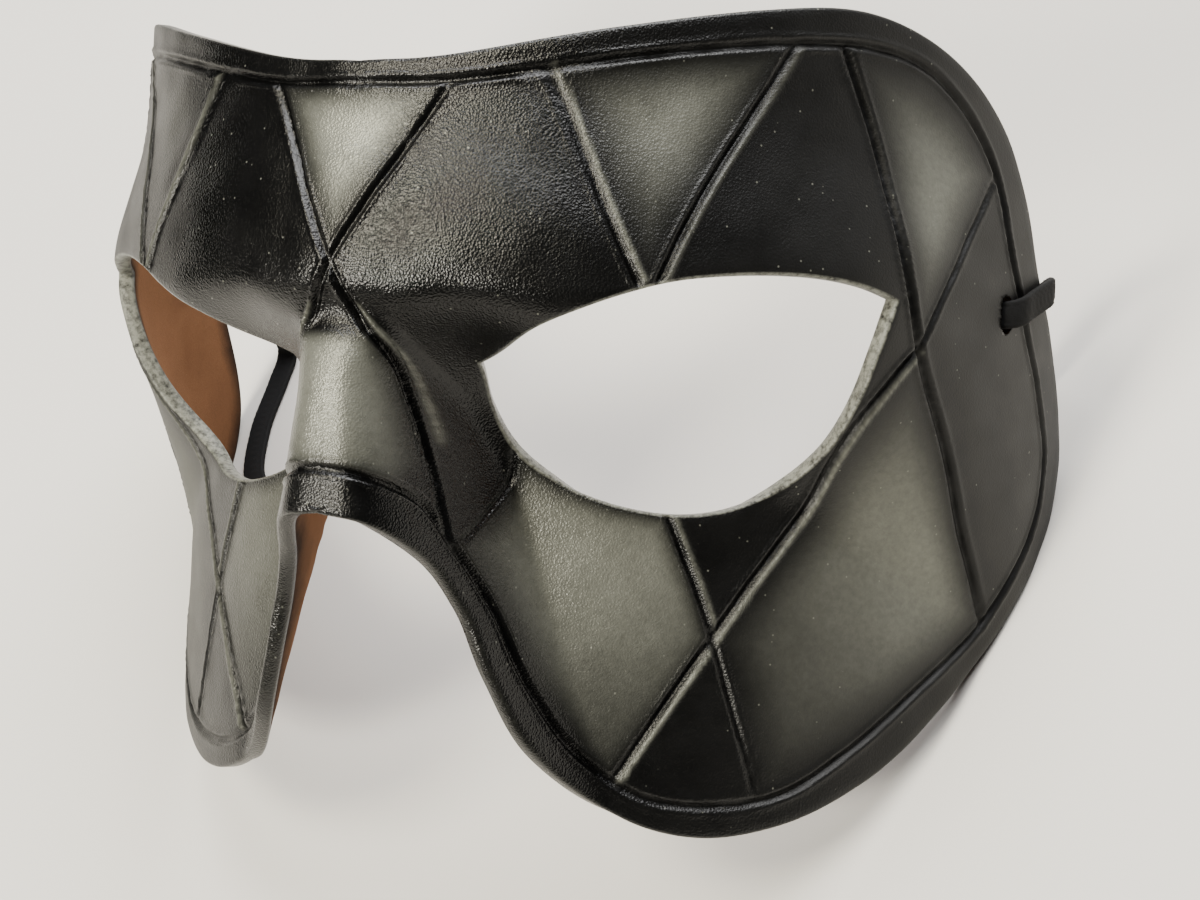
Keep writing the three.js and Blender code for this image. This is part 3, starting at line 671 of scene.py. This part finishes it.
def slot_peg(side, materials):
    """An oblong peg along the leather's normal, through the slot of one temple. It leaves
    the second material on the walls that it cuts."""
    straight = (SLOT_LENGTH - SLOT_WIDTH) / 2
    bend = np.linspace(0, np.pi, SLOT_ROUND_POINTS)
    x = SLOT_WIDTH / 2 * np.concatenate([np.cos(bend), -np.cos(bend)])
    y = SLOT_WIDTH / 2 * np.concatenate([np.sin(bend), -np.sin(bend)])
    y += straight * np.repeat([1, -1], SLOT_ROUND_POINTS)
    middle, sideways, upward, normal = slot_ways()
    rings = np.array(SLOT_REACH) * LEATHER_THICKNESS
    points = (middle + x[None, :, None] * sideways + y[None, :, None] * upward
              + rings[:, None, None] * normal)
    points = lay_down(points * (side, 1, 1)).reshape(-1, 3)
    size = len(x)
    around = np.arange(size)
    beyond = np.roll(around, -1)
    walls = np.stack([around, beyond, beyond + size, around + size], axis=1)
    faces = [tuple(quad) for quad in walls.tolist()]
    faces += [tuple(around[::-1].tolist()), tuple((around + size).tolist())]
    if side < 0:
        faces = [face[::-1] for face in faces]
    mesh = bpy.data.meshes.new("slot_peg")
    mesh.from_pydata([tuple(point) for point in (points * MM).tolist()], [], faces)
    for material in materials:
        mesh.materials.append(material)
    mesh.polygons.foreach_set("material_index", np.ones(len(faces), np.int32))
    peg = bpy.data.objects.new("slot_peg", mesh)
    bpy.context.scene.collection.objects.link(peg)
    return peg


def scaled(colour, share):
    """A linear colour made lighter or darker, as the four numbers that a socket takes."""
    return (*(min(channel * share, 1) for channel in colour), 1)


def new_material(name):
    """A material with no nodes yet, and its node tree."""
    material = bpy.data.materials.new(name)
    material.use_nodes = True
    material.node_tree.nodes.clear()
    return material, material.node_tree


def dyed_leather(settings):
    """Vegetable-tanned cowhide, moulded wet, dyed black and sealed: a semi-gloss skin with a fine
    pebbled grain that breaks the light into small sparks. Sprayed silver sits on it softly, painted
    shade lies dark in the lines, and the rubbed cut edges catch dry silver whose speckles are partly
    painted glints."""
    material, tree = new_material("cowhide_wet_moulded_dyed_black")
    place = add_node(tree, "ShaderNodeTexCoord").outputs["Object"]
    silver = add_node(tree, "ShaderNodeAttribute", attribute_name="silver").outputs["Fac"]
    # How much painted shade darkens the tooled lines
    groove = add_node(tree, "ShaderNodeAttribute", attribute_name="groove").outputs["Fac"]
    cut = add_node(tree, "ShaderNodeAttribute", attribute_name="cut_edge").outputs["Fac"]
    across = add_node(tree, "ShaderNodeAttribute", attribute_name="across").outputs["Fac"]
    # Grain pebbles are about 0.35 mm, wrinkles 0.5 mm, and clouds in the dye and spray 8 mm. Specks of
    # stray spray, which also stand in as painted glints of the grain, are about 0.3 mm, one in 12 of
    # 100 cells that are 1.25 mm wide.
    pebbles = add_node(tree, "ShaderNodeTexVoronoi", {
        "Vector": place, "Scale": PEBBLES / MM}, feature="F1")
    wrinkles = add_node(tree, "ShaderNodeTexNoise", {
        "Vector": place, "Scale": WRINKLES / MM, "Detail": 4.0, "Roughness": 0.6})
    clouds = add_node(tree, "ShaderNodeTexNoise", {
        "Vector": place, "Scale": DYE_CLOUDS / MM, "Detail": 3.0, "Roughness": 0.55})
    speckle = add_node(tree, "ShaderNodeTexNoise", {
        "Vector": place, "Scale": SPECKLE / MM, "Detail": 2.0, "Roughness": 0.7})
    dye = add_node(tree, "ShaderNodeMix", {
        "Factor": clouds.outputs["Fac"], "A": scaled(settings.dye, 0.6),
        "B": scaled(settings.dye, 1.4)},
        data_type="RGBA")
    spray = add_node(tree, "ShaderNodeMix", {
        "Factor": clouds.outputs["Fac"], "A": scaled(settings.silver, 0.8),
        "B": scaled(settings.silver, 1.2)},
        data_type="RGBA")
    # Silver specks, partly stray spray and partly painted glints
    specks = add_node(tree, "ShaderNodeTexVoronoi", {
        "Vector": place, "Scale": SPECKS_AND_GLINTS / MM}, feature="F1")
    stray_specks_and_glints = add_node(tree, "ShaderNodeMapRange", {
        "Value": specks.outputs["Distance"], "From Min": 0.08, "From Max": 0.16,
        "To Min": 0.55, "To Max": 0.0})
    chance = add_node(tree, "ShaderNodeSeparateColor", {"Color": specks.outputs["Color"]})
    chance = add_node(tree, "ShaderNodeMath", {0: chance.outputs["Red"], 1: 0.88},
                      operation="GREATER_THAN")
    stray_specks_and_glints = add_node(tree, "ShaderNodeMath", {0: stray_specks_and_glints.outputs["Result"], 1: chance.outputs[0]},
                     operation="MULTIPLY")
    patchy = add_node(tree, "ShaderNodeMapRange", {
        "Value": speckle.outputs["Fac"], "From Min": 0.3, "From Max": 0.7,
        "To Min": 0.8, "To Max": 1.08})
    amount = add_node(tree, "ShaderNodeMath", {
        0: silver, 1: patchy.outputs["Result"], 2: stray_specks_and_glints.outputs[0]},
        operation="MULTIPLY_ADD", use_clamp=True)
    painted = add_node(tree, "ShaderNodeMix", {
        "Factor": amount.outputs[0], "A": dye.outputs["Result"], "B": spray.outputs["Result"]},
        data_type="RGBA")
    # Painted shade: the lines go near black in colour
    shaded_lines = add_node(tree, "ShaderNodeMix", {
        "Factor": groove, "A": painted.outputs["Result"], "B": (*linear("#030303"), 1)},
        data_type="RGBA")
    # Speckles of dry silver on the cut edges, partly painted glints
    dry_silver_and_glints = add_node(tree, "ShaderNodeMapRange", {
        "Value": speckle.outputs["Fac"], "From Min": 0.25, "From Max": 0.6})
    rubbed_silver_and_glints = add_node(tree, "ShaderNodeMath", {0: cut, 1: dry_silver_and_glints.outputs["Result"]},
                      operation="MULTIPLY")
    rubbed_silver_and_glints = add_node(tree, "ShaderNodeMath", {0: rubbed_silver_and_glints.outputs[0], 1: 0.85},
                      operation="MULTIPLY")
    finished = add_node(tree, "ShaderNodeMix", {
        "Factor": rubbed_silver_and_glints.outputs[0], "A": shaded_lines.outputs["Result"], "B": scaled(settings.silver, 1.1)},
        data_type="RGBA")
    shine = add_node(tree, "ShaderNodeMapRange", {
        "Value": clouds.outputs["Fac"], "From Min": 0.3, "From Max": 0.7,
        "To Min": 0.21, "To Max": 0.28})
    metal = add_node(tree, "ShaderNodeMath", {0: amount.outputs[0], 1: 0.5}, operation="MULTIPLY")
    # Spray lies a little rough, and so does the skin where it is stretched at the temples
    temple = add_node(tree, "ShaderNodeMapRange", {
        "Value": across, "From Min": 30.0, "From Max": 80.0, "To Min": 0.0, "To Max": 0.3})
    shine = add_node(tree, "ShaderNodeMath", {
        0: shine.outputs["Result"], 1: temple.outputs["Result"]}, operation="ADD")
    shine = add_node(tree, "ShaderNodeMath", {0: amount.outputs[0], 1: 0.1, 2: shine.outputs[0]},
                     operation="MULTIPLY_ADD")
    grain = add_node(tree, "ShaderNodeMath", {
        0: pebbles.outputs["Distance"], 1: wrinkles.outputs["Fac"]}, operation="ADD")
    # The hide is stretched smooth towards the temples, 45 to 85 mm from the middle line
    stretched = add_node(tree, "ShaderNodeMapRange", {
        "Value": across, "From Min": 45.0, "From Max": 85.0, "To Min": 0.9, "To Max": 0.25})
    bump = add_node(tree, "ShaderNodeBump", {
        "Height": grain.outputs[0], "Strength": stretched.outputs["Result"],
        "Distance": GRAIN_DEPTH * MM})
    shader = add_node(tree, "ShaderNodeBsdfPrincipled", {
        "Base Color": finished.outputs["Result"], "Roughness": shine.outputs[0],
        "Metallic": metal.outputs[0], "Normal": bump.outputs["Normal"], "IOR": 1.38})
    add_node(tree, "ShaderNodeOutputMaterial", {"Surface": shader.outputs["BSDF"]})
    return material


def flesh_side_leather(settings):
    """The flesh side of the same hide, left undyed: a warm tan suede with short fibres,
    darkened where black dye ran over from the edges."""
    material, tree = new_material("cowhide_flesh_side_undyed")
    place = add_node(tree, "ShaderNodeTexCoord").outputs["Object"]
    near_edge = add_node(tree, "ShaderNodeAttribute", attribute_name="near_edge").outputs["Fac"]
    # Fibres are about 0.4 mm, and the hide's own clouds about 11 mm
    fibres = add_node(tree, "ShaderNodeTexNoise", {
        "Vector": place, "Scale": FIBRES / MM, "Detail": 5.0, "Roughness": 0.7})
    clouds = add_node(tree, "ShaderNodeTexNoise", {
        "Vector": place, "Scale": HIDE_CLOUDS / MM, "Detail": 4.0, "Roughness": 0.6})
    tan = add_node(tree, "ShaderNodeMix", {
        "Factor": clouds.outputs["Fac"], "A": scaled(settings.flesh, 0.8),
        "B": scaled(settings.flesh, 1.25)},
        data_type="RGBA")
    nap = add_node(tree, "ShaderNodeMapRange", {
        "Value": fibres.outputs["Fac"], "From Min": 0.3, "From Max": 0.7,
        "To Min": 0.0, "To Max": 0.35})
    napped = add_node(tree, "ShaderNodeMix", {
        "Factor": nap.outputs["Result"], "A": tan.outputs["Result"],
        "B": scaled(settings.flesh, 0.45)},
        data_type="RGBA")
    run_over = add_node(tree, "ShaderNodeMath", {0: clouds.outputs["Fac"], 1: 6.0},
                        operation="MULTIPLY")
    reach = add_node(tree, "ShaderNodeMath", {0: near_edge, 1: run_over.outputs[0]},
                     operation="SUBTRACT")
    dyed = add_node(tree, "ShaderNodeMapRange", {
        "Value": reach.outputs[0], "From Min": -3.0, "From Max": 1.0, "To Min": 0.9, "To Max": 0.0})
    colour = add_node(tree, "ShaderNodeMix", {
        "Factor": dyed.outputs["Result"], "A": napped.outputs["Result"],
        "B": (*linear("#1a1716"), 1)},
        data_type="RGBA")
    bump = add_node(tree, "ShaderNodeBump", {
        "Height": fibres.outputs["Fac"], "Strength": 0.6, "Distance": NAP_DEPTH * MM})
    shader = add_node(tree, "ShaderNodeBsdfPrincipled", {
        "Base Color": colour.outputs["Result"], "Roughness": 0.95, "Normal": bump.outputs["Normal"],
        "IOR": 1.15})
    add_node(tree, "ShaderNodeOutputMaterial", {"Surface": shader.outputs["BSDF"]})
    return material


def braided_elastic():
    """Rubber-cored elastic braided in black polyester: matt ribs with a faint yarn gloss."""
    material, tree = new_material("polyester_braided_elastic_black")
    place = add_node(tree, "ShaderNodeTexCoord").outputs["Object"]
    # Yarns are about 0.3 mm
    yarn = add_node(tree, "ShaderNodeTexNoise", {
        "Vector": place, "Scale": YARNS / MM, "Detail": 3.0, "Roughness": 0.6})
    colour = add_node(tree, "ShaderNodeMix", {
        "Factor": yarn.outputs["Fac"], "A": (*linear("#030304"), 1),
        "B": (*linear("#0c0c0d"), 1)},
        data_type="RGBA")
    bump = add_node(tree, "ShaderNodeBump", {
        "Height": yarn.outputs["Fac"], "Strength": 0.5, "Distance": YARN_DEPTH * MM})
    shader = add_node(tree, "ShaderNodeBsdfPrincipled", {
        "Base Color": colour.outputs["Result"], "Roughness": 0.8, "Normal": bump.outputs["Normal"],
        "IOR": 1.3})
    add_node(tree, "ShaderNodeOutputMaterial", {"Surface": shader.outputs["BSDF"]})
    return material


class MASK_OT_leather(bpy.types.Operator):
    """Builds the leather shell with its tooled lines, sprayed diamonds and cut edges"""
    bl_idname = "mask.leather"
    bl_label = "Leather mask"

    def execute(self, context):
        settings = context.scene.mask_leather
        points, quads, inner_face, values = shell(settings)
        piece = new_mesh_object("leather_mask", points, quads)
        for name, value in values.items():
            add_values(piece, name, value)
        materials = [dyed_leather(settings), flesh_side_leather(settings)]
        for material in materials:
            piece.data.materials.append(material)
        piece.data.polygons.foreach_set("material_index", inner_face.astype(np.int32))
        pegs = [slot_peg(side, materials) for side in (1, -1)]
        for peg in pegs:
            cut = piece.modifiers.new("slot", "BOOLEAN")
            cut.operation = "DIFFERENCE"
            cut.solver = "EXACT"
            cut.object = peg
        context.view_layer.update()
        finished = bpy.data.meshes.new_from_object(
            piece.evaluated_get(context.evaluated_depsgraph_get()), preserve_all_data_layers=True,
            depsgraph=context.evaluated_depsgraph_get())
        piece.modifiers.clear()
        piece.data = finished
        for peg in pegs:
            bpy.data.objects.remove(peg)
        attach(piece, "root")
        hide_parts("mask_leather")
        return {"FINISHED"}


def cord_frame(route):
    """The cord's width and thickness ways at each point of the route. The cord is flat on
    the ground, and twists a quarter turn on its way up to the leather."""
    heading = np.gradient(route, axis=0)
    heading /= np.linalg.norm(heading, axis=1, keepdims=True)
    side = np.where(route[:, :1] < 0, -1.0, 1.0)
    lift = np.clip((route[:, 2:] - CORD_TWIST_BOTTOM) / CORD_TWIST_HEIGHT, 0, 1)
    flat = np.cross([0, 0, 1], heading)
    flat = np.where(lift > 0, np.hstack([-side, 0 * side, 0 * side]), flat)
    flat /= np.linalg.norm(flat, axis=1, keepdims=True)
    up_face = np.array([0, np.cos(REST_TILT), np.sin(REST_TILT)])
    width = flat + (up_face - flat) * smooth_step(lift)
    width -= heading * np.sum(width * heading, axis=1, keepdims=True)
    width /= np.linalg.norm(width, axis=1, keepdims=True)
    return width, np.cross(heading, width)


class MaskCord(bpy.types.PropertyGroup):
    width: bpy.props.FloatProperty(
        name="Width", description="Width of the flat cord", default=4.6 * MM, min=0.001,
        unit="LENGTH", precision=5)
    ribs: bpy.props.IntProperty(
        name="Ribs", description="Braided ribs across the cord", default=5, min=2, max=12)


class MASK_OT_cord(bpy.types.Operator):
    """Builds the flat elastic cord and the knots that stop its ends behind the slots"""
    bl_idname = "mask.cord"
    bl_label = "Elastic cord"

    def execute(self, context):
        settings = context.scene.mask_cord
        material = braided_elastic()
        step = 0.45
        route = smooth_line(CORD_ROUTE, step)
        piece = flat_cord(route, settings)
        piece.data.materials.append(material)
        for side, name in ((1, "knot_left"), (-1, "knot_right")):
            knot = stopper_knot(side, name)
            knot.data.materials.append(material)
            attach(knot, "root")
            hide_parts(name)
        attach(piece, "root")
        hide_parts("elastic_cord")
        return {"FINISHED"}


def flat_cord(route, settings):
    """A rounded flat section carried along the route. Its surface stands proud by ribs that
    go as the size of a cosine across, crossed by a slant wave that changes sides at each rib."""
    width, thick = cord_frame(route)
    around = np.linspace(0, 2 * np.pi, 41)[:-1]
    half, deep = settings.width / MM / 2, CORD_THICKNESS / 2
    x = np.sign(np.cos(around)) * np.abs(np.cos(around)) ** CORD_SQUARENESS
    y = np.sign(np.sin(around)) * np.abs(np.sin(around)) ** CORD_SQUARENESS
    along = np.append(0, np.cumsum(np.linalg.norm(np.diff(route, axis=0), axis=1)))[:, None]
    rib = x[None] * settings.ribs / 2
    slant = np.abs(2 * (rib - np.floor(rib + 0.5)))
    wave = np.sin(2 * np.pi * (along / CORD_SLANT_LENGTH + slant))
    proud = CORD_RIB_HEIGHT * np.abs(np.cos(np.pi * rib)) + CORD_SLANT_HEIGHT * wave
    proud = proud - CORD_SUNK
    points = (route[:, None] + (half + 0.5 * proud)[..., None] * x[None, :, None] * width[:, None]
              + (deep + proud)[..., None] * y[None, :, None] * thick[:, None])
    count, size = len(route), len(around)
    index = np.arange(count * size).reshape(count, size)
    beyond = np.roll(index, -1, axis=1)
    quads = np.stack([index[:-1], beyond[:-1], beyond[1:], index[1:]], axis=-1).reshape(-1, 4)
    middles = np.stack([route[0], route[-1]])
    caps = []
    ends = ((index[0], count * size, True), (index[-1], count * size + 1, False))
    for ring, middle, turned in ends:
        pairs = ring.reshape(-1, 2)
        third = np.roll(ring, -2).reshape(-1, 2)[:, 0]
        fan = np.stack([np.full(len(pairs), middle), pairs[:, 0], pairs[:, 1], third], axis=1)
        caps.append(fan[:, ::-1] if turned else fan)
    points = np.vstack([points.reshape(-1, 3), middles])
    points[:, 2] = np.maximum(points[:, 2], 0.02)
    return new_mesh_object("braided_cord", points, np.vstack([quads, *caps]))


def stopper_knot(side, name):
    """An overhand knot: a thick round section carried along a trefoil curve, whose parts are
    sines and cosines of once and twice the turn, pulled tight and set behind the slot."""
    box_low, box_high = (np.array(corner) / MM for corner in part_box(name))
    middle = (box_low + box_high) / 2
    turn = np.linspace(0, 2 * np.pi, 97)[:-1]
    centre = np.stack([
        KNOT_LOOP * (np.sin(turn) + 2 * np.sin(2 * turn)),
        KNOT_LOOP * (np.cos(turn) - 2 * np.cos(2 * turn)),
        -KNOT_WEAVE * np.sin(3 * turn)], axis=1)
    _, sideways, upward, normal = slot_ways()
    heading = np.roll(centre, -1, axis=0) - np.roll(centre, 1, axis=0)
    heading /= np.linalg.norm(heading, axis=1, keepdims=True)
    outward = centre - heading * np.sum(centre * heading, axis=1, keepdims=True)
    outward /= np.linalg.norm(outward, axis=1, keepdims=True)
    third = np.cross(heading, outward)
    around = np.linspace(0, 2 * np.pi, 21)[:-1]
    ribs = KNOT_STRAND + KNOT_RIB_HEIGHT * np.abs(np.cos(2.5 * around))[None, :, None]
    flat = KNOT_FLATNESS * np.sin(around)[None, :, None] * third[:, None]
    tube = centre[:, None] + ribs * (np.cos(around)[None, :, None] * outward[:, None] + flat)
    world = lay_down(tube[..., :1] * sideways * (side, 1, 1) + tube[..., 1:2] * upward
                     + tube[..., 2:] * normal * (side, 1, 1))
    world = world - lay_down(np.zeros(3)) + middle
    world = np.clip(world, box_low - 1, box_high + 1)
    count, size = len(turn), len(around)
    index = np.arange(count * size).reshape(count, size)
    ahead, beyond = np.roll(index, -1, axis=0), np.roll(index, -1, axis=1)
    quads = np.stack([index, beyond, np.roll(ahead, -1, axis=1), ahead], axis=-1).reshape(-1, 4)
    points = world.reshape(-1, 3)
    if side < 0:
        quads = quads[:, ::-1]
    return new_mesh_object("tied_" + name, points, quads)


class MaskStage(bpy.types.PropertyGroup):
    key_power: bpy.props.FloatProperty(
        name="Key light", description="Power of the soft light overhead", default=50.0, min=0,
        unit="POWER")
    sky: bpy.props.FloatProperty(
        name="Surround", description="Brightness of the white surround", default=0.05, min=0)


class MASK_OT_stage(bpy.types.Operator):
    """Builds the pale floor, the soft lights and the camera"""
    bl_idname = "mask.stage"
    bl_label = "Floor, lights and camera"

    def execute(self, context):
        settings = context.scene.mask_stage
        material = bpy.data.materials.new("paper_matt_grey_white")
        material.use_nodes = True
        shader = material.node_tree.nodes["Principled BSDF"]
        shader.inputs["Base Color"].default_value = (*linear("#c6c3be"), 1)
        shader.inputs["Roughness"].default_value = 0.9
        size = 3000.0
        corners = np.array([(-size, -size, 0), (size, -size, 0), (size, size, 0), (-size, size, 0)])
        floor = new_mesh_object("floor", corners, np.array([[0, 1, 2, 3]]), smooth=False)
        floor.data.materials.append(material)

        world = bpy.data.worlds.new("white_surround")
        context.scene.world = world
        world.use_nodes = True
        background = world.node_tree.nodes["Background"]
        background.inputs["Color"].default_value = (1, 1, 1, 1)
        background.inputs["Strength"].default_value = settings.sky

        # The small window straight above gives the brow and the nose their warm glints
        lights = [
            ("overhead", (0.15, 0.85, 0.95), 1.1, settings.key_power, "#ffffff"),
            ("key", (-0.42, -0.82, 0.88), 0.3, settings.key_power * 0.45, "#fffaec"),
            ("window", (-0.22, -0.14, 1.15), 0.4, settings.key_power * 0.32, "#fff8e2"),
        ]
        for name, place, width, power, colour in lights:
            data = bpy.data.lights.new(name, "AREA")
            data.color = linear(colour)
            data.energy = power
            data.size = width
            lamp = bpy.data.objects.new(name, data)
            lamp.location = place
            aim = Vector((0, 0, 0.06)) - Vector(place)
            lamp.rotation_euler = aim.to_track_quat("-Z", "Y").to_euler()
            context.scene.collection.objects.link(lamp)

        data = bpy.data.cameras.new("camera")
        data.sensor_fit = "HORIZONTAL"
        data.sensor_width = CAMERA_SENSOR
        data.lens = CAMERA_LENS
        data.clip_start = 0.01
        data.clip_end = 20.0
        camera = bpy.data.objects.new("camera", data)
        right, forward = Vector(CAMERA_RIGHT).normalized(), Vector(CAMERA_FORWARD).normalized()
        up = right.cross(forward).normalized()
        turn = Matrix((right, up, -forward)).transposed().to_4x4()
        camera.matrix_world = Matrix.Translation(Vector(CAMERA_PLACE) * MM) @ turn
        context.scene.collection.objects.link(camera)
        context.scene.camera = camera
        return {"FINISHED"}


class MASK_PT_pieces(bpy.types.Panel):
    bl_label = "Mask"
    bl_space_type = "VIEW_3D"
    bl_region_type = "UI"
    bl_category = "Mask"

    def draw(self, context):
        for group in ("mask_leather", "mask_cord", "mask_stage"):
            settings = getattr(context.scene, group)
            for name in settings.__annotations__:
                self.layout.prop(settings, name)
        for name in ("leather", "cord", "stage"):
            self.layout.operator("mask." + name)


CLASSES = (MaskLeather, MaskCord, MaskStage, MASK_OT_leather, MASK_OT_cord, MASK_OT_stage,
           MASK_PT_pieces)


def register():
    for kind in CLASSES:
        bpy.utils.register_class(kind)
    bpy.types.Scene.mask_leather = bpy.props.PointerProperty(type=MaskLeather)
    bpy.types.Scene.mask_cord = bpy.props.PointerProperty(type=MaskCord)
    bpy.types.Scene.mask_stage = bpy.props.PointerProperty(type=MaskStage)


def unregister():
    del bpy.types.Scene.mask_leather
    del bpy.types.Scene.mask_cord
    del bpy.types.Scene.mask_stage
    for kind in reversed(CLASSES):
        bpy.utils.unregister_class(kind)


def main():
    register()
    bpy.ops.mask.stage()
    bpy.ops.mask.cord()
    bpy.ops.mask.leather()


if __name__ == "__main__":
    main()
